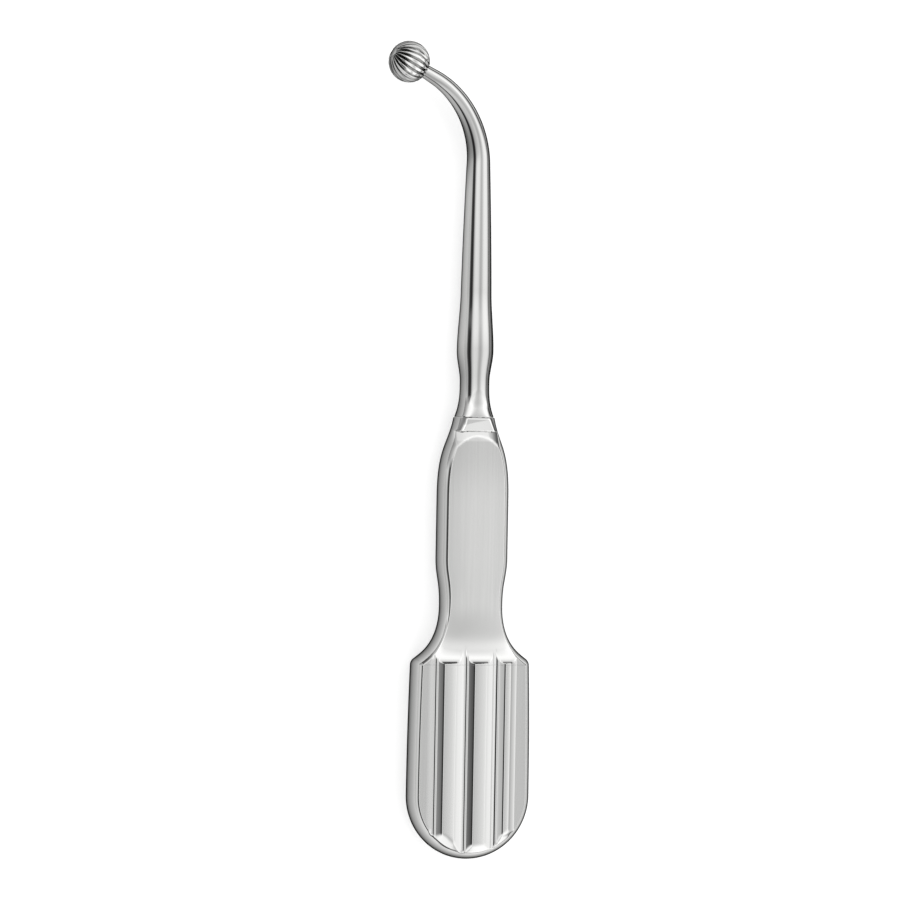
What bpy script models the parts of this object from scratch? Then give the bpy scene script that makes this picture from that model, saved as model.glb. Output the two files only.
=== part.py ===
"""Antrum burr: a bent stainless burr on a flat handle with a ribbed paddle.

The handle lies along Y with the paddle's tip at its lower end and its wide faces up and down.
It is modelled tip first, with its middle plane at height zero, and set down on its back at the end.
"""
import math

import bmesh
import bpy
from mathutils import Matrix, Vector

MM = 0.001

# Paddle, seen from above
paddle_width = 29.5 * MM
paddle_top_width = 28.6 * MM
paddle_length = 47.0 * MM
corner_radius = 2.2 * MM
flare_angle = math.radians(52)
flare_length = 11.7 * MM

# Neck, grip and shoulder, seen from above
neck_width = 15.05 * MM
neck_to_grip = 11.3 * MM
grip_width = 17.15 * MM
grip_length = 14.2 * MM
shoulder_length = 18.3 * MM
collar_width = 9.7 * MM

# How far each curve of the outline keeps its first and last direction
flare_leave, flare_settle = 2.0 * MM, 8.5 * MM
neck_leave, grip_settle = 6.0 * MM, 4.5 * MM
shoulder_leave, collar_settle = 11.5 * MM, 6.5 * MM
collar_splay = 1.3 * MM

# Thicknesses, each from the middle plane to one face
land_height = 4.9 * MM
neck_height = 3.5 * MM
grip_height = 3.72 * MM
collar_height = 3.5 * MM
crease_height = 3.25 * MM
neck_sweep_radius = 5.2 * MM
face_rise_lead = 3.0 * MM  # how far below the neck the face starts to rise to the grip
side_radius = 5.0 * MM
end_bevel_run = 1.9 * MM

# Relief of the paddle's faces
land_length = 45.5 * MM
land_rise = 1.0 * MM
groove_floor = 1.2 * MM
groove_pitch = 7.45 * MM
flank_run = 1.68 * MM
groove_shift = 1.3 * MM
relief_left = 9.2 * MM
relief_right = 10.2 * MM

# Arch and collar at the top of the grip's face
arch_radius = 8.4 * MM
arch_slope = math.radians(40)
arch_spread = math.radians(62)
crease_step = 0.12 * MM
arch_to_crease = 1.1 * MM
crease_to_collar = 1.6 * MM
collar_length = 1.4 * MM

# Tang of the burr in the handle's socket
tang_diameter = 5.0 * MM
tang_length = 18.0 * MM
tang_chamfer = 0.5 * MM
fit_clearance = 0.3 * MM

# Shank diameters and the stretches between them
seam_diameter = 9.1 * MM
waist_diameter = 6.9 * MM
bulge_diameter = 8.55 * MM
stem_diameter = 7.15 * MM
tip_diameter = 3.15 * MM
seam_to_waist = 6.9 * MM
waist_length = 1.1 * MM
waist_to_bulge = 7.2 * MM
bulge_to_stem = 14.2 * MM
stem_length = 29.5 * MM
seam_flare_power = 2.4
taper_start, taper_end = 0.49, 1.35  # the taper's steepness at its ends, as shares of its mean

# Bend and ball
bend_radius = 21.2 * MM
bend_angle = math.radians(65.1)
bend_rise = math.radians(12.5)
neck_length = 2.9 * MM
ball_diameter = 9.6 * MM
flute_count = 22
flute_depth = 0.42 * MM
flute_fade_radius = 3.0 * MM  # closer to the ball's axis than this, the flutes get shallower
pole_disc_diameter = 1.5 * MM
undercut_depth = 0.5 * MM
foot_inset = 0.17 * MM  # how far inside the shank's surface the ball's foot lies

# Fineness of the round surfaces
arc_steps = 20
side_steps = 4
corner_steps = 5
curve_steps = 16
rim_steps = 8
sweep_steps = 8
ring_points = 32
stem_rings = 32
bend_rings = 16
ball_rows = 17
run_out_rows = 3
beyond = 3.0 * MM  # how far a cutter stands out of what it cuts
rim_margin = 0.3 * MM  # how far the uncut plate stands above its lands

flat_height = land_height - land_rise
neck_start = paddle_length + flare_length
grip_start = neck_start + neck_to_grip
shoulder_start = grip_start + grip_length
handle_length = shoulder_start + shoulder_length


def clear_scene():
    for obj in list(bpy.data.objects):
        bpy.data.objects.remove(obj, do_unlink=True)


def steel(name, grey, roughness):
    """A stainless finish: polished where the roughness is low, satin where it is higher."""
    material = bpy.data.materials.new(name)
    material.use_nodes = True
    shader = material.node_tree.nodes["Principled BSDF"]
    shader.inputs["Base Color"].default_value = (grey, grey, grey, 1)
    shader.inputs["Metallic"].default_value = 1
    shader.inputs["Roughness"].default_value = roughness
    return material


def add_object(name, verts, faces, material=None):
    """An object from points and faces, with all faces turned outwards."""
    mesh = bpy.data.meshes.new(name)
    mesh.from_pydata([tuple(v) for v in verts], [], faces)
    shape = bmesh.new()
    shape.from_mesh(mesh)
    bmesh.ops.recalc_face_normals(shape, faces=shape.faces)
    bmesh.ops.triangulate(shape, faces=[f for f in shape.faces if len(f.verts) == 4])
    shape.to_mesh(mesh)
    shape.free()
    obj = bpy.data.objects.new(name, mesh)
    bpy.context.collection.objects.link(obj)
    if material:
        mesh.materials.append(material)
        mesh.shade_smooth()
        mesh.set_sharp_from_angle(angle=math.radians(25))
    return obj


def loft(name, rings, material=None):
    """A closed solid through rings of equal point counts, capped at both ends."""
    count = len(rings[0])
    verts = [point for ring in rings for point in ring]
    faces = [tuple(range(count)), tuple(range(len(verts) - count, len(verts)))]
    for row in range(len(rings) - 1):
        for i in range(count):
            j = (i + 1) % count
            a, b = row * count, (row + 1) * count
            faces.append((a + i, a + j, b + j, b + i))
    return add_object(name, verts, faces, material)


def prism(name, outline, axis, low, high):
    """An outline given in the two other axes, extruded along one axis."""
    place = {
        "X": lambda at, p: (at, p[0], p[1]),
        "Y": lambda at, p: (p[0], at, p[1]),
    }[axis]
    return loft(name, [[place(at, p) for p in outline] for at in (low, high)])


def cut(target, tool, operation="DIFFERENCE"):
    """A Boolean on the target, whose tool is kept as a hidden guide."""
    modifier = target.modifiers.new(tool.name, "BOOLEAN")
    modifier.operation = operation
    modifier.solver = "EXACT"
    modifier.object = tool
    tool.hide_render = True
    tool.display_type = "WIRE"


def bezier(start, leave, settle, end):
    """Points of a cubic Bezier curve, without its first point."""
    points = []
    for i in range(1, curve_steps + 1):
        t = i / curve_steps
        u = 1 - t
        points.append(start * u**3 + leave * 3 * u * u * t + settle * 3 * u * t * t + end * t**3)
    return points


def smoothstep(t):
    t = min(max(t, 0), 1)
    return t * t * (3 - 2 * t)


def handle_outline():
    """Right half of the handle's outline as (half width, distance from the tip), tip first."""
    end = paddle_width / 2
    points = [
        Vector((end * math.sin(a), end * (1 - math.cos(a))))
        for a in (math.pi / 2 * i / arc_steps for i in range(arc_steps + 1))
    ]
    # The sides curve in slightly towards the corner
    side_half = paddle_top_width / 2
    side_end = paddle_length - corner_radius
    for i in range(1, side_steps):
        share = i / side_steps
        points.append(Vector((end - (end - side_half) * share**2, end + (side_end - end) * share)))
    # The corner is an arc between the paddle's side and the start of the flare
    centre = Vector((side_half - corner_radius, side_end))
    for i in range(corner_steps + 1):
        a = flare_angle * i / corner_steps
        points.append(centre + corner_radius * Vector((math.cos(a), math.sin(a))))
    # The flare leaves the corner along the arc's tangent and runs level into the neck
    up = Vector((0, 1))
    start = points[-1]
    tangent = Vector((-math.sin(flare_angle), math.cos(flare_angle)))
    neck = Vector((neck_width / 2, neck_start))
    points += bezier(start, start + flare_leave * tangent, neck - flare_settle * up, neck)
    # The neck swells into the grip, whose sides are straight
    grip = Vector((grip_width / 2, grip_start))
    points += bezier(neck, neck + neck_leave * up, grip - grip_settle * up, grip)
    shoulder = Vector((grip_width / 2, shoulder_start))
    points.append(shoulder)
    # The shoulder draws in to the collar, which still narrows a little at its end
    collar = Vector((collar_width / 2, handle_length))
    settle = collar + Vector((collar_splay, -collar_settle))
    points += bezier(shoulder, shoulder + shoulder_leave * up, settle, collar)
    return points


def rim_profile():
    """Rounded rim of the outline as (distance in from the edge, height), up to the side flats."""
    top = flat_height + rim_margin / 4
    heights = [top * math.sin(math.pi / 2 * i / rim_steps) for i in range(rim_steps + 1)]
    return [(side_radius - math.sqrt(side_radius**2 - z * z), z) for z in heights]


def rimmed_plate():
    """The handle's outline with its rounded rim, thicker than any face of the handle."""
    half = handle_outline()
    left = [Vector((-p.x, p.y)) for p in half[:0:-1]]
    loop = half + left
    inward = []
    for i, point in enumerate(loop):
        before, after = loop[i - 1], loop[(i + 1) % len(loop)]
        if i == len(half) - 1 or i == len(half):
            inward.append(Vector((-math.copysign(1, point.x), 0)))
            continue
        along = (after - before).normalized()
        inward.append(Vector((-along.y, along.x)))
    rim = rim_profile()
    ceiling = land_height + rim_margin
    bevel_run = end_bevel_run * (ceiling - flat_height) / land_rise
    rows = [(inset, 0, z) for inset, z in rim] + [(rim[-1][0], bevel_run, ceiling)]
    rows = [(inset, run, -z) for inset, run, z in rows[:0:-1]] + rows
    rings = []
    for inset, run, z in rows:
        ring = []
        for point, normal in zip(loop, inward):
            # The lands' bevel belongs to the paddle's round end and fades out along its sides
            fade = smoothstep(2 - 2 * point.y / (paddle_width / 2))
            place = point + normal * (inset + run * fade)
            ring.append((place.x, place.y, z))
        rings.append(ring)
    return loft("handle", rings, steel("polished_stainless", 0.62, 0.12))


def side_view():
    """Upper half of the handle's side view as (distance from the tip, height)."""
    rise = land_height - neck_height
    sweep_reach = math.sqrt(2 * neck_sweep_radius * rise - rise**2)
    sweep_angle = math.asin(sweep_reach / neck_sweep_radius)
    points = [(-beyond, land_height), (land_length, land_height)]
    for i in range(1, sweep_steps + 1):
        a = sweep_angle * (1 - i / sweep_steps)
        points.append((
            land_length + sweep_reach - neck_sweep_radius * math.sin(a),
            neck_height + neck_sweep_radius * (1 - math.cos(a)),
        ))
    for i in range(sweep_steps + 1):
        t = i / sweep_steps
        points.append((
            neck_start - face_rise_lead + t * (neck_to_grip + face_rise_lead),
            neck_height + (grip_height - neck_height) * smoothstep(t),
        ))
    collar_start = handle_length - collar_length
    crease = collar_start - crease_to_collar
    points += [
        (crease, grip_height),
        (crease, crease_height),
        (collar_start, collar_height),
        (handle_length + beyond, collar_height),
    ]
    return points


def side_view_prism():
    upper = side_view()
    lower = [(y, -z) for y, z in reversed(upper)]
    reach = paddle_width / 2 + beyond
    return prism("side_view", upper + lower, "X", -reach, reach)


def relief_cutters(face):
    """Cutters of one face's relief: two grooves with slanted flanks and the steps at both sides."""
    top = land_height + beyond
    spread = flank_run / land_rise * (top - flat_height)
    low, high = -beyond, grip_start
    tools = []
    for side in (-1, 1):
        middle = groove_shift + side * groove_pitch / 2
        floor = groove_floor / 2
        outline = [
            (middle - floor, flat_height), (middle + floor, flat_height),
            (middle + floor + spread, top), (middle - floor - spread, top),
        ]
        tools.append(("groove", side, outline))
        foot = side * (relief_right if side > 0 else relief_left)
        edge = side * (paddle_width / 2 + beyond)
        outline = [(foot, flat_height), (edge, flat_height), (edge, top), (foot - side * spread, top)]
        tools.append(("step", side, outline))
    cutters = []
    for kind, side, outline in tools:
        place = [(x, z * face) for x, z in outline]
        name = f"{kind}_{'right' if side > 0 else 'left'}_{'front' if face > 0 else 'back'}"
        cutters.append(prism(name, place, "Y", low, high))
    return cutters


def arch_cutter(face):
    """A loft with a sloped, hollow round wall, which ends the grip's face in an arch before the crease."""
    crease = handle_length - collar_length - crease_to_collar
    centre = crease - arch_to_crease - arch_radius
    floor = crease_height + crease_step
    ceiling = grip_height + beyond
    end = crease + crease_step
    side = grip_width / 2 + beyond
    rings = []
    for z in (floor, ceiling):
        radius = arch_radius + (grip_height - z) / math.tan(arch_slope)
        arc = [
            (radius * math.sin(a), centre + radius * math.cos(a))
            for a in (arch_spread * (2 * i / arc_steps - 1) for i in range(arc_steps + 1))
        ]
        outline = [(-side, arc[0][1])] + arc + [(side, arc[-1][1]), (side, end), (-side, end)]
        rings.append([(x, y, z * face) for x, y in outline])
    return loft(f"arch_{'front' if face > 0 else 'back'}", rings)


def socket_cutter():
    radius = tang_diameter / 2 + fit_clearance
    depth = tang_length + fit_clearance
    circle = [
        (radius * math.cos(a), radius * math.sin(a))
        for a in (2 * math.pi * i / ring_points for i in range(ring_points))
    ]
    return prism("socket", circle, "Y", handle_length - depth, handle_length + beyond)


def make_handle():
    handle = rimmed_plate()
    cut(handle, side_view_prism(), "INTERSECT")
    for face in (1, -1):
        for tool in relief_cutters(face):
            cut(handle, tool)
        cut(handle, arch_cutter(face))
    cut(handle, socket_cutter())
    return handle


shank_start = handle_length + fit_clearance
waist_end = seam_to_waist + waist_length
bulge_at = waist_end + waist_to_bulge
stem_at = bulge_at + bulge_to_stem
bend_at = stem_at + stem_length
bend_length = bend_radius * bend_angle
shank_length = bend_at + bend_length + neck_length


def shank_diameter(at):
    """Diameter at a distance from the seam: a flare, a waist, a bulge, then one long taper."""
    if at <= seam_to_waist:
        flare = (1 - at / seam_to_waist) ** seam_flare_power
        return waist_diameter + (seam_diameter - waist_diameter) * flare
    if at <= bulge_at:
        swell = smoothstep((at - waist_end) / waist_to_bulge)
        return waist_diameter + (bulge_diameter - waist_diameter) * swell
    if at <= stem_at:
        ebb = smoothstep((at - bulge_at) / bulge_to_stem)
        return bulge_diameter + (stem_diameter - bulge_diameter) * ebb
    t = (at - stem_at) / (shank_length - stem_at)
    fall = stem_diameter - tip_diameter
    return (
        stem_diameter * (2 * t**3 - 3 * t**2 + 1)
        + tip_diameter * (3 * t**2 - 2 * t**3)
        - taper_start * fall * (t**3 - 2 * t**2 + t)
        - taper_end * fall * (t**3 - t**2)
    )


def shank_frame(at):
    """Point, direction and in-plane normal of the shank's middle line at a distance from the seam."""
    lateral = Vector((-math.cos(bend_rise), 0, math.sin(bend_rise)))
    forward = Vector((0, 1, 0))
    turned = min(max(at - bend_at, 0), bend_length) / bend_radius
    past = max(at - bend_at - bend_length, 0)
    point = Vector((0, shank_start + min(at, bend_at), 0))
    point += bend_radius * (math.sin(turned) * forward + (1 - math.cos(turned)) * lateral)
    direction = math.cos(turned) * forward + math.sin(turned) * lateral
    normal = math.cos(turned) * lateral - math.sin(turned) * forward
    return point + past * direction, direction, normal


def ring_around(at, radius, points):
    """Points of a circle square to the shank's middle line."""
    centre, direction, normal = shank_frame(at)
    across = direction.cross(normal)
    return [
        centre + radius * (math.cos(a) * normal + math.sin(a) * across)
        for a in (2 * math.pi * i / points for i in range(points))
    ]


def make_ball():
    """A ball with V flutes along its meridians, a plain disc at its pole and an undercut at the shank."""
    radius = ball_diameter / 2
    tip_radius = tip_diameter / 2
    centre, axis, normal = shank_frame(shank_length)
    across = axis.cross(normal)
    centre = centre + axis * math.sqrt(radius**2 - tip_radius**2)
    disc = math.asin(pole_disc_diameter / 2 / radius)
    foot = math.pi - math.asin((tip_radius - foot_inset) / radius)
    ridge_to_ridge = (0, 0.5, 1, 0.5)
    points = len(ridge_to_ridge) * flute_count
    rings = []
    for row in range(ball_rows + 1):
        polar = disc + (foot - disc) * row / ball_rows
        spread = math.sin(polar)
        depth = flute_depth * min(1, spread * radius / flute_fade_radius)
        depth *= smoothstep(row / run_out_rows)
        neck_in = undercut_depth * (1 - smoothstep((ball_rows - row) / run_out_rows))
        ring = []
        for i in range(points):
            a = 2 * math.pi * i / points
            reach = radius - depth * ridge_to_ridge[i % len(ridge_to_ridge)] - neck_in
            side = math.cos(a) * normal + math.sin(a) * across
            ring.append(centre + reach * (math.cos(polar) * axis + spread * side))
        rings.append(ring)
    return loft("fluted_ball", rings)


def seam_flat_cutter(face):
    """Levels the shank's flare with the collar's face, in a flat that dies out before the waist."""
    low, high = shank_start - beyond, shank_start + seam_to_waist
    top = seam_diameter / 2 + beyond
    outline = [(low, collar_height), (high, collar_height), (high, top), (low, top)]
    place = [(y, z * face) for y, z in outline]
    return prism(f"seam_flat_{'front' if face > 0 else 'back'}", place, "X", -seam_diameter, seam_diameter)


def make_burr_shank():
    tang_radius = tang_diameter / 2
    rings = [
        ring_around(-tang_length, tang_radius - tang_chamfer, ring_points),
        ring_around(-tang_length + tang_chamfer, tang_radius, ring_points),
        ring_around(0, tang_radius, ring_points),
    ]
    stations = [bend_at * i / stem_rings for i in range(stem_rings + 1)]
    stations += [bend_at + bend_length * i / bend_rings for i in range(1, bend_rings + 1)]
    stations.append(shank_length + ball_diameter / 4)
    for at in stations:
        diameter = shank_diameter(min(at, shank_length))
        rings.append(ring_around(at, diameter / 2, ring_points))
    shank = loft("burr_shank", rings, steel("mirror_polished_stainless", 0.66, 0.08))
    cut(shank, make_ball(), "UNION")
    for face in (1, -1):
        cut(shank, seam_flat_cutter(face))
    return shank


def set_down(pieces):
    """Puts the pieces on their back with the middle of their box over the origin."""
    bpy.context.view_layer.update()
    graph = bpy.context.evaluated_depsgraph_get()
    corners = [
        piece.matrix_world @ Vector(corner)
        for piece in pieces
        for corner in piece.evaluated_get(graph).bound_box
    ]
    low = Vector([min(c[i] for c in corners) for i in range(3)])
    high = Vector([max(c[i] for c in corners) for i in range(3)])
    middle = (low + high) / 2
    root = bpy.data.objects.new("antrum_burr", None)
    bpy.context.collection.objects.link(root)
    for obj in list(bpy.data.objects):
        if obj is not root:
            obj.parent = root
    root.matrix_world = Matrix.Translation((-middle.x, -middle.y, -low.z))


clear_scene()
set_down([make_handle(), make_burr_shank()])
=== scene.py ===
"""An antrum burr on a table: a fluted ball on a bent shank, in a handle with a ribbed paddle."""

import math

import bmesh
import bpy
import numpy as np
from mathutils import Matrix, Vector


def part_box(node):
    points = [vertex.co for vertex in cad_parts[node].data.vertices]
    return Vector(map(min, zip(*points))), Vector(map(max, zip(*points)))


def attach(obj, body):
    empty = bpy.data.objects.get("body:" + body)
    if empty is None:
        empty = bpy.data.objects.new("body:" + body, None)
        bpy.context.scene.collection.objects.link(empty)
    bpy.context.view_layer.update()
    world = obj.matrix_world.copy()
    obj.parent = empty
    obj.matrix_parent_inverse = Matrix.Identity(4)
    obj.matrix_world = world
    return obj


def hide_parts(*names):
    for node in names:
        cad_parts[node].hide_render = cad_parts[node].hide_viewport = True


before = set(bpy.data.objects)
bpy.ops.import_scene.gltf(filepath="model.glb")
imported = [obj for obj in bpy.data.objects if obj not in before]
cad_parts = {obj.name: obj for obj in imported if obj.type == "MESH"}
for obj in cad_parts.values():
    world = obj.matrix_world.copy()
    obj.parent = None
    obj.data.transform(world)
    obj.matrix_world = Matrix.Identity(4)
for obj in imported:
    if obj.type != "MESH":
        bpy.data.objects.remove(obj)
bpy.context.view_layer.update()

MM = 0.001

# Table and studio.
# A white matt table under a large soft tent of light. One black card stands open in the tent's left
# wall, and it draws the dark line that makes polished steel look polished.
handle_low, handle_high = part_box("handle")
middle_height = handle_high.z / 2
photo_width = 209.1 * MM
camera_distance = 1.0
turn_to_left = math.radians(18)
lean_to_right = math.radians(1.02)
aim_right = -3.73 * MM
aim_up = 94.95 * MM
table_half, table_glow = 3.0, 0.52
# A colour ramp holds at most 1, so the tent's strengths are kept as shares of this one
brightest = 4.0


def linear(hex_colour):
    """An sRGB hex colour as linear values: above the toe, ((c + 0.055) / 1.055) to the power of 2.4."""
    srgb = np.array([int(hex_colour[i:i + 2], 16) for i in (1, 3, 5)]) / 255
    channels = np.where(srgb <= 0.04045, srgb / 12.92, ((srgb + 0.055) / 1.055) ** 2.4)
    return (*channels.tolist(), 1)


def add_node(tree, kind, settings=None, **links):
    """Adds a shader node: settings are its properties, and links are its sockets' values or sources."""
    node = tree.nodes.new(kind)
    for name, value in (settings or {}).items():
        setattr(node, name, value)
    for name, source in links.items():
        key = int(name[1:]) if name[1:].isdigit() else name.replace("_", " ")
        if isinstance(source, bpy.types.NodeSocket):
            tree.links.new(source, node.inputs[key])
        else:
            node.inputs[key].default_value = source
    return node


def add_table():
    """A flat square far wider than the view, on which the handle's lands lie."""
    corners = [(x * table_half, y * table_half, 0) for x, y in ((-1, -1), (1, -1), (1, 1), (-1, 1))]
    mesh = bpy.data.meshes.new("table")
    mesh.from_pydata(corners, [], [(0, 1, 2, 3)])
    table = bpy.data.objects.new("table", mesh)
    bpy.context.collection.objects.link(table)
    # Matt white laminate: it shows the object's soft shadow, and its glow lifts it to white
    material = bpy.data.materials.new("matt_white_laminate")
    material.use_nodes = True
    tree = material.node_tree
    tree.nodes.clear()
    rays = add_node(tree, "ShaderNodeLightPath")
    seen = add_node(tree, "ShaderNodeMath", {"operation": "ADD"},
                    _0=rays.outputs["Is Camera Ray"], _1=rays.outputs["Is Glossy Ray"])
    seen = add_node(tree, "ShaderNodeMath", {"operation": "ADD", "use_clamp": True},
                    _0=seen.outputs[0], _1=rays.outputs["Is Transmission Ray"])
    glow = add_node(tree, "ShaderNodeMath", {"operation": "MULTIPLY"},
                    _0=seen.outputs[0], _1=table_glow)
    light = add_node(tree, "ShaderNodeEmission", Strength=glow.outputs[0])
    matt = add_node(tree, "ShaderNodeBsdfDiffuse", Color=linear("#cfcfcf"))
    both = add_node(tree, "ShaderNodeAddShader", _0=light.outputs[0], _1=matt.outputs[0])
    add_node(tree, "ShaderNodeOutputMaterial", Surface=both.outputs[0])
    mesh.materials.append(material)


def add_studio():
    """A tent of light. Its strength follows the angle around the handle's length, with the black card
    at about 66 to 46 degrees on the left. Towards the ball a bright ceiling takes over from the walls,
    and both are multiplied by a profile that runs from the tent's one end to the other."""
    world = bpy.data.worlds.new("soft_studio")
    bpy.context.scene.world = world
    world.use_nodes = True
    tree = world.node_tree
    tree.nodes.clear()
    place = add_node(tree, "ShaderNodeTexCoord")
    axes = add_node(tree, "ShaderNodeSeparateXYZ", Vector=place.outputs["Generated"])
    # Each profile: its range, and stops of place and value. The first two are strengths over degrees
    # from straight up towards the right. The others run over the direction's share towards the ball.
    profiles = {
        "walls": (90, [(-90, 1.0), (-74, 1.0), (-66, 0.10), (-52, 0.03), (-46, 0.12), (-41, 0.62),
                       (-34, 1.2), (-22, 1.45), (-4, 1.35), (8, 0.9), (16, 0.82), (24, 1.02),
                       (38, 1.5), (55, 1.6), (70, 1.5), (79, 0.8), (86, 0.2), (90, 0.1)]),
        "ceiling": (90, [(-90, 0.6), (-66, 0.8), (-45, 1.1), (-30, 1.5), (-10, 1.65), (50, 1.65),
                         (62, 0.9), (72, 0.2), (90, 0.08)]),
        "ceiling_share": (1, [(0.15, 0.0), (0.28, 1.0)]),
        "ends": (1, [(-0.98, 0.3), (-0.93, 1.2), (-0.6, 1.15), (-0.3, 1.0), (0.04, 1.0), (0.15, 1.2),
                     (0.28, 1.0), (0.4, 1.0), (0.62, 0.8), (0.78, 0.8), (0.88, 0.2)]),
    }
    ramps = {}
    for name, (reach, stops) in profiles.items():
        ramps[name] = add_node(tree, "ShaderNodeValToRGB", {"name": name})
        steps = ramps[name].color_ramp.elements
        while len(steps) < len(stops):
            steps.new(0.5)
        for step, (at, value) in zip(steps, stops):
            step.position = (at / reach + 1) / 2
            step.color = (*[value / brightest] * 3, 1)
    around = add_node(tree, "ShaderNodeMath", {"operation": "ARCTAN2"},
                      _0=axes.outputs["X"], _1=axes.outputs["Z"])
    turn = add_node(tree, "ShaderNodeMapRange", Value=around.outputs[0],
                    From_Min=-math.pi / 2, From_Max=math.pi / 2)
    along = add_node(tree, "ShaderNodeMapRange", Value=axes.outputs["Y"], From_Min=-1.0)
    for name, source in (("walls", turn), ("ceiling", turn), ("ceiling_share", along), ("ends", along)):
        tree.links.new(source.outputs[0], ramps[name].inputs["Fac"])
    share = add_node(tree, "ShaderNodeMath", {"operation": "MULTIPLY"},
                     _0=ramps["ceiling_share"].outputs["Color"], _1=brightest)
    tent = add_node(tree, "ShaderNodeMix", {"data_type": "RGBA"}, Factor=share.outputs[0])
    tree.links.new(ramps["walls"].outputs["Color"], tent.inputs[6])
    tree.links.new(ramps["ceiling"].outputs["Color"], tent.inputs[7])
    strength = add_node(tree, "ShaderNodeMath", {"operation": "MULTIPLY"},
                        _0=ramps["ends"].outputs["Color"], _1=brightest ** 2)
    sky = add_node(tree, "ShaderNodeBackground", Color=tent.outputs[2], Strength=strength.outputs[0])
    add_node(tree, "ShaderNodeOutputWorld", Surface=sky.outputs[0])


def add_camera():
    """Looks down at the handle from its left, with the handle's top leaning to the right."""
    back = np.array([-math.sin(turn_to_left), 0, math.cos(turn_to_left)])
    level = np.array([math.cos(turn_to_left), 0, math.sin(turn_to_left)])
    along = np.array([0, 1, 0])
    right = level * math.cos(lean_to_right) + along * math.sin(lean_to_right)
    up = along * math.cos(lean_to_right) - level * math.sin(lean_to_right)
    tip = np.array([(handle_low.x + handle_high.x) / 2, handle_low.y, middle_height])
    aim = tip + right * aim_right + up * aim_up
    data = bpy.data.cameras.new("camera")
    data.sensor_width = 36
    data.lens = data.sensor_width * camera_distance / photo_width
    camera = bpy.data.objects.new("camera", data)
    bpy.context.collection.objects.link(camera)
    place = np.eye(4)
    place[:3, 0], place[:3, 1], place[:3, 2] = right, up, back
    place[:3, 3] = aim + back * camera_distance
    camera.matrix_world = place.T.tolist()
    bpy.context.scene.camera = camera


add_table()
add_studio()
add_camera()
bpy.context.scene.view_settings.view_transform = "Standard"

# Handle.
# Forged stainless steel, milled and ground. The grip and the paddle's lands and flats have a satin
# finish brushed lengthwise, and the rim, the flanks and the hollow neck are polished.
paddle_half = 14.75
paddle_top_half = 14.3
corner_top = 47.0
corner_round = 2.0
flare_slope = math.radians(52)
neck_half = 7.52
neck_at = 58.7
grip_half = 8.575
grip_from, grip_to = 70.0, 84.2
collar_half = 4.85
handle_length = 102.5
# How far each curve of the outline keeps its direction at its two ends, and how far the shoulder's
# second one stands out from the collar
flare_pull, neck_pull, shoulder_pull, shoulder_splay = (2.0, 8.5), (6.0, 4.5), (11.5, 6.5), 1.3

# Heights above the handle's middle plane, and the roundings between them
land, flat, neck_level, grip_level = 4.9, 3.9, 3.5, 3.72
rim_at_paddle, rim_at_grip, rim_at_collar = 5.2, 4.4, 3.9
grip_rim_from, grip_rim_run, collar_rim_from, collar_rim_run = 48, 14, 95, 5
land_end, land_end_slope = 45.5, 1.15
hollow_deep, hollow_short = 0.62, 0.35
hollow_shallow, hollow_long = 0.78, 3.0
grip_rise_from = neck_at - 3
bevel_run, bevel_round, bevel_lift, bevel_fade_from, bevel_fade = 1.9, 0.3, 0.02, 0.35, 3
crease_at, crease_level = 99.35, 3.25
collar_level, collar_slope, collar_twist, collar_round = 3.5, 0.117, 0.026, 0.03
facet_slope = math.tan(math.radians(22.5))
facet_fall = 0.045
grip_crown, grip_shoulder, crown_run = 0.28, 0.20, 12
crease_depth, crease_width = 0.12, 0.09
edge_round, lip_round, polish_round = 0.08, 0.12, 0.035

# The relief across the paddle, which sits a little to the right
relief_shift, groove_pitch, groove_floor, flank = 1.3, 7.45, 1.2, 1.68
relief_left, relief_right = 9.2, 10.2
grooves = [relief_shift - groove_pitch / 2, relief_shift + groove_pitch / 2]
land_lefts = [-relief_left + flank] + [at + groove_floor / 2 + flank for at in grooves]
land_rights = [at - groove_floor / 2 - flank for at in grooves] + [relief_right - flank]
land_lean = 0.07
# A wall on a land's left: where its lip, flank, ledge, tool step and foot end, and their slopes
lip_end, flank_end, ledge_end, step_end, foot_end, wall_end = 0.24, 1.36, 1.72, 2.08, 2.75, 2.8
lip_slope, ledge_slope, step_slope, foot_slope = 0.80, 0.06, 0.80, -0.22
flank_slopes, flank_curl, curl_at = (0.60, 0.62, 0.54), 0.03, 0.7
foot_dip, right_hollow = 0.12, 0.1
socket_half, socket_depth = 2.8, 18.3

# Painted shade and painted highlights, as factors on the steel's colour: the rim's, the neck's, the
# hollow's, the grip's and the collar's
painted_rim_light_at_outline, painted_rim_light_gain, painted_corner_shade_right, painted_corner_shade_left = 0.52, 0.95, 0.85, 0.6
painted_neck_light, painted_neck_light_run = 0.12, 6
painted_hollow_light, painted_hollow_light_at, painted_hollow_light_run = 0.37, 4.0, 2.0
painted_edge_shade, painted_edge_shade_from, painted_edge_shade_run = 0.26, 52, 12
painted_end_shade, painted_end_shade_from, painted_end_shade_run, painted_end_shade_to = 0.14, 82, 14, crease_at - 2.2
painted_collar_slope_light = 0.28
# Where the steel is brushed: on the paddle up to a slope, and on the grip from its neck to its shoulder
paddle_brush, paddle_brush_slope, paddle_brush_to = 0.5, 0.30, land_end + 1.6
grip_brush_from, grip_brush_run, brush_inset_height = 52, 8, 3.3
brush_pitch, brush_length, brush_depth = 0.45 * MM, 40 * MM, 0.02 * MM


def smooth_step(t):
    """From 0 to 1 as 3t^2 - 2t^3, level at both ends."""
    t = np.clip(t, 0, 1)
    return t * t * (3 - 2 * t)


def smooth_min(a, b, width):
    """The lower of two heights, rounded where they are closer than width: min less a parabola."""
    h = np.clip(width - np.abs(a - b), 0, None) / width
    return np.minimum(a, b) - h * h * width / 4


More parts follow.
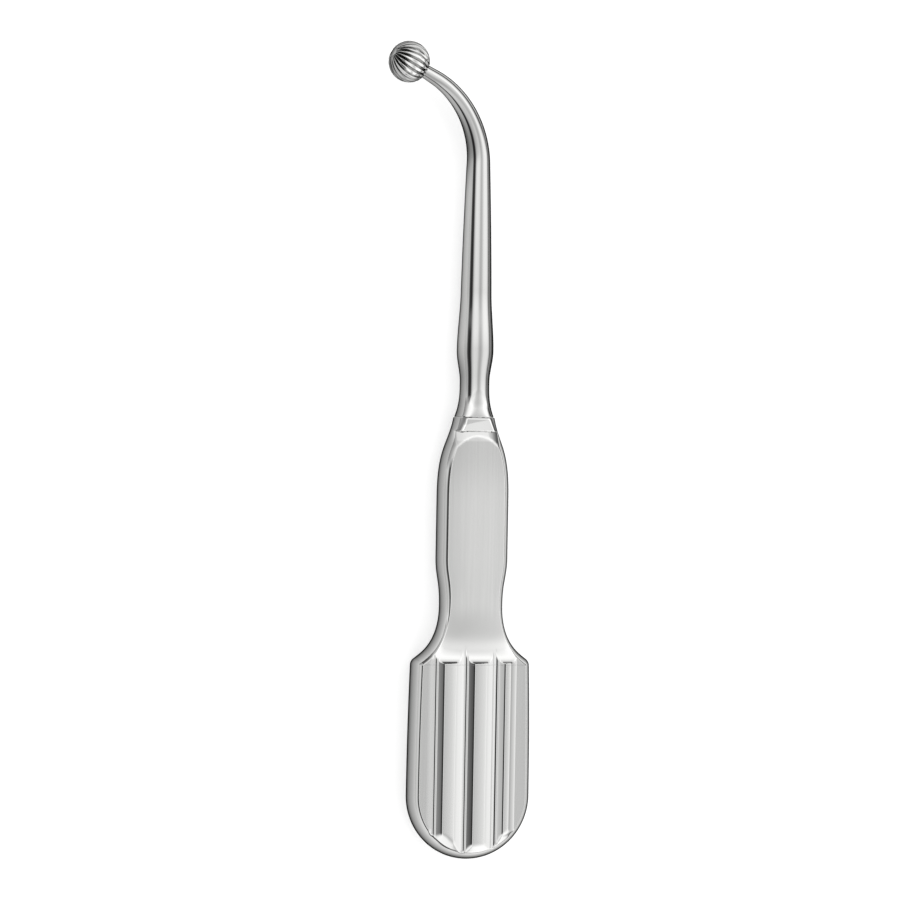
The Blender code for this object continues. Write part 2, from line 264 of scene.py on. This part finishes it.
def curve(p0, p1, p2, p3, t):
    """Points of a cubic Bezier curve at the shares t, as an array of rows."""
    t = t[:, None]
    p0, p1, p2, p3 = (np.array(p, float) for p in (p0, p1, p2, p3))
    return (1 - t) ** 3 * p0 + 3 * (1 - t) ** 2 * t * p1 + 3 * (1 - t) * t * t * p2 + t ** 3 * p3


def handle_outline():
    """Half width and distance from the tip, tip first: a round end, a taper, a corner, a flare, a neck,
    a straight grip and a shoulder. Each stretch is an arc or a Bezier curve, level where they join."""
    a = np.linspace(0, math.pi / 2, 95)
    end = np.stack([paddle_half * np.sin(a), paddle_half * (1 - np.cos(a))], 1)
    t = np.linspace(0, 1, 25)[1:]
    side_to = corner_top - corner_round
    side = np.stack([paddle_half - (paddle_half - paddle_top_half) * t ** 2,
                     paddle_half + (side_to - paddle_half) * t], 1)
    a = np.linspace(0, flare_slope, 14)[1:]
    corner = np.stack([paddle_top_half - corner_round + corner_round * np.cos(a),
                       side_to + corner_round * np.sin(a)], 1)
    start = corner[-1]
    leave = np.array([-math.sin(flare_slope), math.cos(flare_slope)])
    flare = curve(start, start + flare_pull[0] * leave, (neck_half, neck_at - flare_pull[1]),
                  (neck_half, neck_at), np.linspace(0, 1, 80)[1:] ** 1.5)
    neck = curve((neck_half, neck_at), (neck_half, neck_at + neck_pull[0]),
                 (grip_half, grip_from - neck_pull[1]), (grip_half, grip_from),
                 np.linspace(0, 1, 16)[1:])
    grip = np.stack([np.full(6, grip_half), np.linspace(grip_from, grip_to, 7)[1:]], 1)
    shoulder = curve((grip_half, grip_to), (grip_half, grip_to + shoulder_pull[0]),
                     (collar_half + shoulder_splay, handle_length - shoulder_pull[1]),
                     (collar_half, handle_length),
                     np.concatenate([np.linspace(0, 0.8, 30)[1:], np.linspace(0.8, 1, 60)[1:]]))
    return np.concatenate([end, side, corner, flare, neck, grip, shoulder])


def inward_normals(outline):
    """Unit normals of the outline towards the handle's middle, from central differences."""
    along = np.gradient(outline, axis=0)
    along[0], along[-1] = (1, 0), (0, 1)
    along /= np.linalg.norm(along, axis=1)[:, None]
    return np.stack([-along[:, 1], along[:, 0]], 1)


outline = handle_outline()
inward = inward_normals(outline)


def rim_round(s):
    """Radius of the rounded rim, eased from the paddle's to the grip's to the collar's."""
    to_grip = smooth_step((s - grip_rim_from) / grip_rim_run)
    to_collar = smooth_step((s - collar_rim_from) / collar_rim_run)
    grip = rim_at_paddle + (rim_at_grip - rim_at_paddle) * to_grip
    return grip + (rim_at_collar - rim_at_grip) * to_collar


def inset_at(height, s):
    """How far in from the outline the round rim reaches a height."""
    return rim_round(s) - np.sqrt(rim_round(s) ** 2 - np.square(height))


def edge_distance(x, s):
    """Distance in from the outline: exact on the round end, and elsewhere by Newton steps to the foot
    of the square line from the point to the outline."""
    rows, widths = outline[:, 1], outline[:, 0]
    slopes = np.gradient(widths, rows + np.arange(len(rows)) * 1e-9)
    foot = s.copy()
    for _ in range(5):
        width, slope = np.interp(foot, rows, widths), np.interp(foot, rows, slopes)
        foot += ((s - foot) + (np.abs(x) - width) * slope) / (1 + slope ** 2)
        foot = np.clip(foot, paddle_half, handle_length)
    reach = np.hypot(np.abs(x) - np.interp(foot, rows, widths), s - foot)
    round_end = paddle_half - np.hypot(x, paddle_half - s)
    return np.where(s < paddle_half, round_end, reach)


def wall_profile(slope):
    """How far a land's left wall has fallen, from the land's edge leftwards: the slopes of its lip, its
    slightly hollow flank, ledge, tool step and foot, added up. Returns the places and the falls."""
    reach = np.linspace(0, wall_end + 0.1, 600)
    starts = [0, lip_end, flank_end, ledge_end, step_end, foot_end]
    slopes = [lip_slope, slope, ledge_slope, step_slope, foot_slope, 0]
    tilt = np.array(slopes)[np.searchsorted(starts, reach, side="right") - 1]
    tilt = np.where(tilt == slope, slope + flank_curl * (curl_at - reach), tilt)
    return reach, np.concatenate([[0], np.cumsum((tilt[1:] + tilt[:-1]) / 2)]) * reach[1]


def blurred(places, heights, width):
    """A profile smoothed by a bell curve, which rounds its edges as polishing does."""
    step = places[1] - places[0]
    reach = np.arange(-int(4 * width / step), int(4 * width / step) + 1) * step
    bell = np.exp(-(reach / width) ** 2 / 2)
    padded = np.pad(heights, len(reach) // 2, mode="edge")
    return np.convolve(padded, bell / bell.sum(), mode="valid")


def paddle_relief():
    """Height of the paddle's face across its width: three lands with their right sides polished lower,
    walls stepped at the foot on their left, and hollow walls on their right, down to the flats."""
    x = np.linspace(-paddle_half - 1, paddle_half + 1, 6400)
    height = np.full_like(x, flat)
    for left, right, slope in zip(land_lefts, land_rights, flank_slopes):
        reach, fall = wall_profile(slope)
        rise = np.clip(land - np.interp(left - x, reach, fall), flat - foot_dip, land)
        top = land - land_lean * np.clip(x - left, 0, right - left) ** 2 / (right - left)
        drop = land - land_lean * (right - left)
        t = np.clip((x - right) / flank, 0, 1)
        down = drop - (drop - flat) * ((1 + right_hollow) * t - right_hollow * t * t)
        here = np.where(x < left, rise, np.where(x > right, down, top))
        height = np.where((x > left - wall_end) & (x < right + flank), here, height)
    return x, blurred(x, height, polish_round)


relief = paddle_relief()


def relief_height(x):
    """The paddle's relief at x, read off its profile."""
    return np.interp(x, *relief)


def facet_height(x, s):
    """The facet ground on the shoulder: one slope down to the crease, with a slight crown across."""
    return crease_level + facet_slope * (crease_at - s) - facet_fall * x ** 2


def collar_height(x, s):
    """The slope from the crease up to the collar's flat, which is twisted a little across."""
    return crease_level + (s - crease_at) * collar_slope - x * collar_twist


def face_height(x, s):
    """Height of the front face above the middle plane, without the rim: the lowest of the paddle's
    relief, the hollow that runs out of it into the neck, the grip, the shoulder's facet and the
    collar. The hollow sinks as the sum of a short and a long exponential decay."""
    past = s - land_end
    hollow = hollow_deep * np.exp(-past / hollow_short) + hollow_shallow * np.exp(-past / hollow_long)
    hollow = np.where(past < 0, land - neck_level - past * land_end_slope, hollow)
    rise = smooth_step((s - grip_rise_from) / (grip_from - grip_rise_from))
    grip = (grip_level - neck_level) * rise
    across = np.abs(x) / grip_half
    crown = smooth_step(past / crown_run) * (grip_crown * across ** 2 + grip_shoulder * across ** 10)
    height = neck_level + hollow + grip - crown
    height = np.where(s < neck_at, smooth_min(height, relief_height(x), lip_round), height)
    height = np.where(s > grip_to, smooth_min(height, facet_height(x, s), edge_round), height)
    collar = smooth_min(collar_height(x, s), collar_level, collar_round)
    crease = crease_depth * np.exp(-np.square((s - crease_at) / crease_width))
    return np.where(s > crease_at, collar, height) - crease


def end_bevel(s, inset):
    """The bevel of the lands around the round end: one slope inwards from the rim. It rises out of the
    lands along the paddle's sides, where it fades out."""
    slope = (land - flat) / bevel_run
    fade = smooth_step(2 * (s / paddle_half - bevel_fade_from))
    return flat + bevel_lift + (inset - inset_at(flat, s)) * slope + fade * bevel_fade


def full_height(x, s, inset):
    """The face with its end bevel, rounded over into the rim, which is an arc up from the middle
    plane."""
    height = face_height(x, s)
    height = np.where(s < paddle_half, smooth_min(height, end_bevel(s, inset), bevel_round), height)
    reach = rim_round(s)
    rim = np.sqrt(np.clip(reach ** 2 - (reach - np.clip(inset, 0, reach)) ** 2, 0, None))
    return smooth_min(rim, height, edge_round)


def handle_columns(fineness):
    """Places of the lengthwise grid lines across the face, close together along each edge."""
    places = [np.linspace(-paddle_half, paddle_half, 9 * fineness)]
    edge = np.linspace(-0.09, 0.09, fineness)
    for left in land_lefts:
        places += [left - (end + edge) for end in (0, lip_end, flank_end, ledge_end, step_end)]
        places.append(left - np.linspace(0.4, 1.3, fineness))
    for right in land_rights:
        places += [right + edge, right + (flank + edge)]
        places.append(right + np.linspace(0.2, flank - 0.2, fineness + 1))
    return np.unique(np.round(np.concatenate(places), 3))


def front_surface(columns):
    """Grid of points over the front half, rows along the outline. From the middle plane a row climbs
    the right rim, crosses the face at one distance from the tip and goes down the left rim. The second
    array is each point's share of the rim's width: 0 at the outline, 1 at the crease and inside it."""
    level = np.full(len(outline), flat)
    for _ in range(6):
        crease = outline + inward * inset_at(level, outline[:, 1])[:, None]
        crease[:, 0] = np.clip(crease[:, 0], 0, None)
        level = np.clip(face_height(crease[:, 0], crease[:, 1]), 1, flat)
    # The rim's grid lines, as shares of its height
    climb = np.array([0, 0.14, 0.28, 0.42, 0.56, 0.68, 0.78, 0.87, 0.94])
    inset = inset_at(level[:, None] * climb, outline[:, 1:])
    rim_share = inset / inset_at(level, outline[:, 1])[:, None]
    rim_x = outline[:, :1] + inward[:, :1] * inset
    rim_s = outline[:, 1:] + inward[:, 1:] * inset
    rim_z = full_height(rim_x, rim_s, inset)
    rim_z[:, 0] = 0
    half = crease[:, :1]
    # The face's first grid lines, in mm inwards from the crease, closer where the face is narrow
    ease = np.array([0, 0.04, 0.1, 0.2, 0.3]) * np.minimum(1, half / 0.6)
    inner = half - ease[:, -1:]
    across = np.clip(columns[None, ::-1], -inner, inner)
    face_x = np.concatenate([half - ease[:, :-1], across, (ease[:, :-1] - half)[:, ::-1]], 1)
    face_s = np.repeat(crease[:, 1:], face_x.shape[1], 1)
    face_z = full_height(face_x, face_s, edge_distance(face_x, face_s))
    rows = ((rim_x, face_x, -rim_x[:, ::-1]), (rim_s, face_s, rim_s[:, ::-1]),
            (rim_z, face_z, rim_z[:, ::-1]))
    points = np.stack([np.concatenate(row, 1) for row in rows], 2)
    return points, np.concatenate([rim_share, np.ones_like(face_x), rim_share[:, ::-1]], 1)


def handle_surface():
    """The front half, and the back half as its coarser mirror image, in rows closed around it."""
    front, front_share = front_surface(handle_columns(4))
    back, back_share = front_surface(handle_columns(2))
    points = np.concatenate([front, back[:, -2:0:-1] * (1, 1, -1)], 1)
    return points, np.concatenate([front_share, back_share[:, -2:0:-1]], 1)


def handle_painted_shading(points, share):
    """Painted shading: a factor on the steel's colour that paints shade and highlights. On the rim the
    painted light grows with the square of the share of the rim's width, and painted shade darkens the
    collar's corners. On the face it paints a highlight from the neck on, painted shade towards the
    grip's edges and its upper end, and painted highlights on the collar's slope and, along a bell
    curve, in the hollow."""
    x, s = points[..., 0], points[..., 1]
    # Painted shade at the collar's corners and towards the rim's outline, painted light towards the
    # crease
    corner = smooth_step((share - 0.45) / 0.3) * (s > crease_at)
    corner = corner * np.where(x > 0, painted_corner_shade_right, painted_corner_shade_left)
    rim = (painted_rim_light_at_outline + painted_rim_light_gain * share ** 2) * (1 - corner)
    # Painted light from the neck on, painted shade at the grip's edges and upper end, painted
    # highlights in the hollow and on the collar's slope
    edges = smooth_step((s - painted_edge_shade_from) / painted_edge_shade_run) * (x / grip_half) ** 2
    side = 1 + painted_neck_light * smooth_step((s - corner_top) / painted_neck_light_run) - painted_edge_shade * edges
    end = 1 - painted_end_shade * smooth_step((s - painted_end_shade_from) / painted_end_shade_run)
    slope = (collar_height(x, s) < collar_level) & (s > crease_at)
    hollow = np.exp(-np.square((s - land_end - painted_hollow_light_at) / painted_hollow_light_run))
    face = np.where(s < painted_end_shade_to, end, 1 + painted_collar_slope_light * slope)
    return np.where(share < 1, rim, side * (1 + painted_hollow_light * hollow) * face)


def satin_share(points):
    """1 where the face is brushed and 0 where it is polished. Brushed are the grip's face up to its
    facet, and by half the paddle's lands and flats, where their slope is slight."""
    x, s, z = points[..., 0], points[..., 1], np.abs(points[..., 2])
    slope = np.abs(relief_height(x + 0.05) - relief_height(x - 0.05)) / 0.1
    paddle = smooth_step((paddle_brush_slope - slope) / 0.1) * (s < paddle_brush_to)
    paddle *= paddle_brush * smooth_step((z - relief_height(x) + 0.05) / 0.03)
    grip = smooth_step((s - grip_brush_from) / grip_brush_run)
    grip *= smooth_step((z - face_height(x, s) + 0.03) / 0.02)
    grip *= smooth_step((facet_height(x, s) - grip_level) / 0.06 + 1.5)
    inside = smooth_step((edge_distance(x, s) - inset_at(brush_inset_height, s)) / 0.3)
    return np.where(s < 50, paddle, grip) * inside


def add_piece(name, shells, attributes):
    """A mesh object of grids of points, rows by columns, each closed around its columns, with a
    number for every point in each attribute."""
    points, faces, first = [], [], 0
    for shell in shells:
        rows, columns = shell.shape[:2]
        index = first + np.arange(rows * columns).reshape(rows, columns)
        following = np.roll(index, -1, 1)
        quads = np.stack([index[:-1], following[:-1], following[1:], index[1:]], -1)
        faces.append(quads.reshape(-1, 4))
        points.append(shell.reshape(-1, 3))
        first += rows * columns
    points, faces = np.concatenate(points), np.concatenate(faces)
    mesh = bpy.data.meshes.new(name)
    mesh.from_pydata(points.tolist(), [], faces.tolist())
    for key, values in attributes.items():
        layer = mesh.attributes.new(key, "FLOAT", "POINT")
        layer.data.foreach_set("value", values.astype(np.float32).ravel())
    close_shells(mesh)
    mesh.shade_smooth()
    piece = bpy.data.objects.new(name, mesh)
    bpy.context.collection.objects.link(piece)
    return piece


def close_shells(mesh):
    """Merges the points that meet at seams and poles, and turns all faces outwards."""
    shape = bmesh.new()
    shape.from_mesh(mesh)
    bmesh.ops.remove_doubles(shape, verts=shape.verts, dist=2e-7)
    bmesh.ops.recalc_face_normals(shape, faces=shape.faces)
    shape.to_mesh(mesh)
    shape.free()


def close_collar(surface):
    """The collar's end face and the socket for the tang, as more rows of the same grid."""
    last = surface[-1]
    angle = np.arctan2(last[:, 2], last[:, 0])
    ring = np.stack([socket_half * np.cos(angle), last[:, 1], socket_half * np.sin(angle)], 1)
    deep = ring - (0, socket_depth, 0)
    return np.concatenate([surface, ring[None], deep[None], (deep * (0, 1, 0))[None]])


def in_place(points):
    """From millimetres off the handle's axis, tip and middle plane to the frame's metres."""
    axis = (handle_low.x + handle_high.x) / 2
    return points * MM + (axis, handle_low.y, middle_height)


def steel(name, satin, roughness):
    """Stainless steel, whose colour is multiplied by the painted shading attribute: painted shade and
    painted highlights. Polished, it mirrors the studio with a faint haze. Brushed, its haze is drawn
    out in fine lengthwise lines. Real ones are under 0.1 mm apart, and these are 0.45 mm apart, as
    coarse as they need to be to show. Roughness goes from the polished end to the brushed one, or on a
    piece without brushing it follows the painted shading, from the flutes' bottoms, which are as
    milled, to the polish."""
    material = bpy.data.materials.new(name)
    material.use_nodes = True
    tree = material.node_tree
    shader = tree.nodes["Principled BSDF"]
    shader.inputs["Metallic"].default_value = 1
    shader.inputs["Specular Tint"].default_value = linear("#282828")
    # The painted shading attribute: painted shade and painted highlights that multiply the steel's
    # colour
    painted_shading = add_node(tree, "ShaderNodeAttribute", {"attribute_name": "painted_shading"}).outputs["Fac"]
    colour = add_node(tree, "ShaderNodeMix", {"data_type": "RGBA", "blend_type": "MULTIPLY"},
                      Factor=1.0)
    colour.inputs[6].default_value = linear("#c5c5c4")
    tree.links.new(painted_shading, colour.inputs[7])
    colour = colour.outputs[2]
    rough = add_node(tree, "ShaderNodeMapRange")
    rough.inputs["To Min"].default_value, rough.inputs["To Max"].default_value = roughness
    if satin:
        place = add_node(tree, "ShaderNodeTexCoord")
        finish = add_node(tree, "ShaderNodeAttribute", {"attribute_name": "satin"}).outputs["Fac"]
        lines = add_node(tree, "ShaderNodeMapping", Vector=place.outputs["Object"],
                         Scale=(1 / brush_pitch, 1 / brush_length, 1 / brush_pitch))
        brush = add_node(tree, "ShaderNodeTexNoise", Vector=lines.outputs[0], Scale=1.0, Detail=3.0)
        tone = add_node(tree, "ShaderNodeMapRange", Value=brush.outputs["Fac"])
        for key, value in (("From Min", 0.3), ("From Max", 0.7), ("To Min", 0.97), ("To Max", 1.03)):
            tone.inputs[key].default_value = value
        drawn = add_node(tree, "ShaderNodeMix", {"data_type": "RGBA", "blend_type": "MULTIPLY"},
                         Factor=finish)
        tree.links.new(colour, drawn.inputs[6])
        tree.links.new(tone.outputs[0], drawn.inputs[7])
        colour = drawn.outputs[2]
        tree.links.new(finish, rough.inputs["Value"])
        depth = add_node(tree, "ShaderNodeMath", {"operation": "MULTIPLY"}, _0=finish, _1=0.04)
        bump = add_node(tree, "ShaderNodeBump", Strength=depth.outputs[0], Distance=brush_depth,
                        Height=brush.outputs["Fac"])
        tree.links.new(bump.outputs[0], shader.inputs["Normal"])
    else:
        tree.links.new(painted_shading, rough.inputs["Value"])
        rough.inputs["From Max"].default_value = 0.4
    tree.links.new(colour, shader.inputs["Base Color"])
    tree.links.new(rough.outputs[0], shader.inputs["Roughness"])
    return material


surface, rim_share = handle_surface()
# Painted shade and painted highlights for every point of the handle, repeated for the collar's end rows
painted_shading = np.pad(handle_painted_shading(surface, rim_share), ((0, 3), (0, 0)), mode="edge")
surface = close_collar(surface)
handle = add_piece("handle_body", [in_place(surface)],
                   {"satin": satin_share(surface), "painted_shading": painted_shading})
handle.data.materials.append(steel("brushed_stainless_steel", True, (0.05, 0.26)))
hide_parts("handle")
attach(handle, "root")

# Burr shank.
# One bar of hardened stainless steel, turned to a long taper with a bulge and a waist, bent at its
# end and polished to a mirror. Its ball is milled with V flutes and polished with it.
shank_start = handle_length + 0.3
tang_half, tang_length, tang_chamfer = 2.5, 18.0, 0.5
seam_to_waist, waist_length, waist_to_bulge, bulge_to_stem, stem_length = 6.9, 1.1, 7.2, 14.2, 29.5
seam_across, waist_across, bulge_across, stem_across, tip_across = 9.1, 6.9, 8.55, 7.15, 3.15
seam_gap, seam_soft, seam_break = 0.08, 1.1, 0.04
flare_power, taper_start, taper_end = 2.4, 0.49, 1.35
bend_round, bend_turn, bend_rise = 21.2, math.radians(65.1), math.radians(12.5)
ball_half, flutes, flute_depth, flute_half, ball_neck = 4.786, 22, 0.55, 0.38, 2.9
disc_half, undercut = 0.9, 0.5
waist_end = seam_to_waist + waist_length
bulge_at = waist_end + waist_to_bulge
stem_at = bulge_at + bulge_to_stem
bend_at = stem_at + stem_length
bend_length = bend_round * bend_turn
shank_length = bend_at + bend_length + ball_neck

# Painted shade and painted highlights, as factors on the bar's colour. Each step adds its size from its
# place on and over its run, in mm along the shank (towards the seam if the run is below 0) or radians
# from the ball's pole
painted_steep_shade = 0.16
painted_steep_shade_steps = [(0.34, bulge_at + 3, -9), (0.5, bend_at - 8, 12)]
# Painted highlight on the ground flats, painted shade in the shank's middle and inside and outside the
# bend
painted_flat_light, painted_middle_shade, painted_inner_shade = 0.12, 0.15, 0.36
painted_outer_shade_from, painted_outer_shade_shift, painted_outer_shade_more = 0.5, 0.15, 0.12
# Painted light on the ball: a highlight overall, painted shade to its sides and in its flutes
painted_ball_light, painted_ball_side_shade, painted_flute_shade = 1.15, 0.7, 0.5
painted_flute_shade_steps = [(0.4, 0.25, 0.3), (-0.6, 0.85, 0.5), (0.55, 2.0, 0.4)]


def stepped(first, steps, place):
    """The first value, and on top of it each step's size, eased in from its place over its run."""
    return first + sum(size * smooth_step((place - start) / run) for size, start, run in steps)


def shank_across(at):
    """Diameter along the shank: a flare to the seam, a waist, a bulge, and then a Hermite taper."""
    open_share = np.clip(1 - at / seam_to_waist, 0, 1) ** flare_power
    flare = waist_across + (seam_across - waist_across) * open_share
    rise = smooth_step((at - waist_end) / waist_to_bulge)
    swell = waist_across + (bulge_across - waist_across) * rise
    ebb = bulge_across + (stem_across - bulge_across) * smooth_step((at - bulge_at) / bulge_to_stem)
    t = np.clip((at - stem_at) / (shank_length - stem_at), 0, 1)
    fall = stem_across - tip_across
    taper = (stem_across * (2 * t ** 3 - 3 * t ** 2 + 1) + tip_across * (3 * t ** 2 - 2 * t ** 3)
             - taper_start * fall * (t ** 3 - 2 * t ** 2 + t) - taper_end * fall * (t ** 3 - t ** 2))
    return np.select([at <= seam_to_waist, at <= bulge_at, at <= stem_at], [flare, swell, ebb], taper)


def shank_line(at):
    """Points of the middle line with its direction and in-plane normal: straight, an arc, straight."""
    lateral = np.array([-math.cos(bend_rise), 0, math.sin(bend_rise)])
    forward = np.array([0, 1, 0])
    turned = (np.clip(at - bend_at, 0, bend_length) / bend_round)[..., None]
    past = np.clip(at - bend_at - bend_length, 0, None)[..., None]
    direction = np.cos(turned) * forward + np.sin(turned) * lateral
    normal = np.cos(turned) * lateral - np.sin(turned) * forward
    point = (shank_start + np.minimum(at, bend_at))[..., None] * forward
    point = point + bend_round * (np.sin(turned) * forward + (1 - np.cos(turned)) * lateral)
    return point + past * direction, direction, normal


def bar_surface():
    """Circles square to the middle line. Above and below, the flare to the seam is ground flat, level
    with the handle's collar. The second array is each point's painted shading."""
    seam = seam_gap - (shank_start - handle_length)
    tang = np.array([-tang_length, -tang_length, -tang_length + tang_chamfer, seam - 0.001, seam])
    tang_radius = np.array([0.0, tang_half - tang_chamfer, tang_half, tang_half, tang_half])
    foot = np.array([seam, seam + seam_break])
    foot_radius = np.array([seam_across / 2 - seam_break, seam_across / 2])
    at = np.concatenate([np.linspace(foot[1], bulge_at + 2, 150)[1:],
                         np.linspace(bulge_at + 2, bend_at, 70)[1:],
                         np.linspace(bend_at, shank_length, 90)[1:], [shank_length + ball_half / 2]])
    radius = shank_across(np.minimum(at, shank_length)) / 2
    at, radius = np.concatenate([tang, foot, at]), np.concatenate([tang_radius, foot_radius, radius])
    at, radius = np.append(at, at[-1]), np.append(radius, 0)
    point, direction, normal = shank_line(at)
    turn = np.linspace(0, 2 * math.pi, 128, endpoint=False)[:, None]
    across = np.cross(direction, normal)
    ring = point[:, None] + radius[:, None, None] * (
        np.cos(turn) * normal[:, None] + np.sin(turn) * across[:, None])
    height = ring[..., 2].copy()
    soft = 0.02 + seam_soft * smooth_step((seam_to_waist - at) / 5)[:, None]
    pressed = np.sign(height) * smooth_min(np.abs(height), collar_level, soft)
    ring[..., 2] = np.where((at < seam_to_waist)[:, None], pressed, height)
    return ring, shank_painted_shading(at[:, None], radius, ring, height, point, direction)


def shank_painted_shading(at, radius, ring, round_height, point, direction):
    """Painted shading of the shank, a factor on its colour. It paints shade where the surface is steep,
    most at the waist and on the bend, and along the bend's outer edge and on its inner side. Between
    flare and ball it paints the shank a little darker all around, and it paints a highlight on the
    ground flats."""
    radius = np.clip(radius, 1e-6, None)[:, None]
    steep = 1 - np.abs(round_height) / radius
    ground = smooth_step((np.abs(round_height) - np.abs(ring[..., 2])) / 0.12)
    offset = (ring - point[:, None]) / radius[..., None]
    outwards = offset[..., 0] * direction[:, 1:2] - offset[..., 1] * direction[:, :1]
    # Painted shade along the bend's outer edge and on its inner side
    start = painted_outer_shade_from + painted_outer_shade_shift * smooth_step((at - bend_at) / 20)
    outside = (start + painted_outer_shade_more) * smooth_step((outwards - start) / 0.17)
    outside *= smooth_step((1 - steep) / 0.4)
    inside = painted_inner_shade * smooth_step((-outwards - 0.1) / 0.3) * smooth_step((at - bend_at + 2) / 8)
    # Painted highlight on the ground flats, painted shade on the steep sides and a little all along the
    # middle
    painted_shading = 1 + painted_flat_light * ground
    painted_shading -= stepped(painted_steep_shade, painted_steep_shade_steps, at) * smooth_step(steep / 0.7)
    middle = smooth_step((at - seam_to_waist + 3) / 6) * smooth_step((shank_length - 8 - at) / 12)
    return painted_shading * (1 - outside) * (1 - inside) * (1 - painted_middle_shade * middle)


def ball_surface():
    """A sphere whose radius drops in V flutes of one width along its meridians, so that the ridges
    between them widen from the plain disc at the pole to the equator. It is undercut at the shank.
    The second array is each point's painted shading: a painted highlight where it faces up or down, and
    painted shade to the sides and in the flutes."""
    shank_end, axis, normal = (v[0] for v in shank_line(np.array([shank_length])))
    centre = shank_end + axis * math.sqrt(ball_half ** 2 - (tip_across / 2) ** 2)
    across = np.cross(axis, normal)
    first = math.asin(disc_half / ball_half)
    # The ball's grid ends inside the shank
    last = math.pi - math.asin(tip_across / 2 * 0.9 / ball_half)
    polar = np.concatenate([[0, first * 0.8], np.linspace(first, last, 90), [math.pi]])[:, None]
    turn = np.linspace(0, 2 * math.pi, flutes * 20, endpoint=False)[None]
    from_middle = np.abs((turn * flutes / (2 * math.pi)) % 1 * 2 - 1)
    half_pitch = math.pi * ball_half * np.sin(polar) / flutes
    half_width = np.minimum(flute_half, half_pitch) + 1e-6
    v_shape = np.clip(1 - from_middle * half_pitch / half_width, 0, 1)
    depth = flute_depth * half_width / flute_half * smooth_step((polar - first) / 0.1)
    hollow = undercut * smooth_step((polar - last + 0.4) / 0.4)
    radius = ball_half - depth * v_shape - hollow
    spread = np.cos(turn)[..., None] * normal + np.sin(turn)[..., None] * across
    outwards = np.cos(polar)[..., None] * axis + np.sin(polar)[..., None] * spread
    in_flute = smooth_step(3 * v_shape * smooth_step((polar - first) / 0.1) + 2 * hollow - 0.2)
    # A painted highlight over the ball, painted shade to its sides and in its flutes
    painted_shading = painted_ball_light - painted_ball_side_shade * smooth_step(1 - np.abs(outwards[..., 2]))
    painted_shading *= 1 - stepped(painted_flute_shade, painted_flute_shade_steps, polar) * in_flute
    return centre + radius[..., None] * outwards, painted_shading


bar, bar_painted_shading = bar_surface()
ball, ball_painted_shading = ball_surface()
# The painted shade and highlights of the bar and the ball, joined into one attribute
painted_shading = np.concatenate([bar_painted_shading.ravel(), ball_painted_shading.ravel()])
shank = add_piece("burr_bar", [in_place(bar), in_place(ball)], {"painted_shading": painted_shading})
shank.data.materials.append(steel("mirror_polished_stainless_steel", False, (0.35, 0.06)))
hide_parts("burr_shank")
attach(shank, "root")
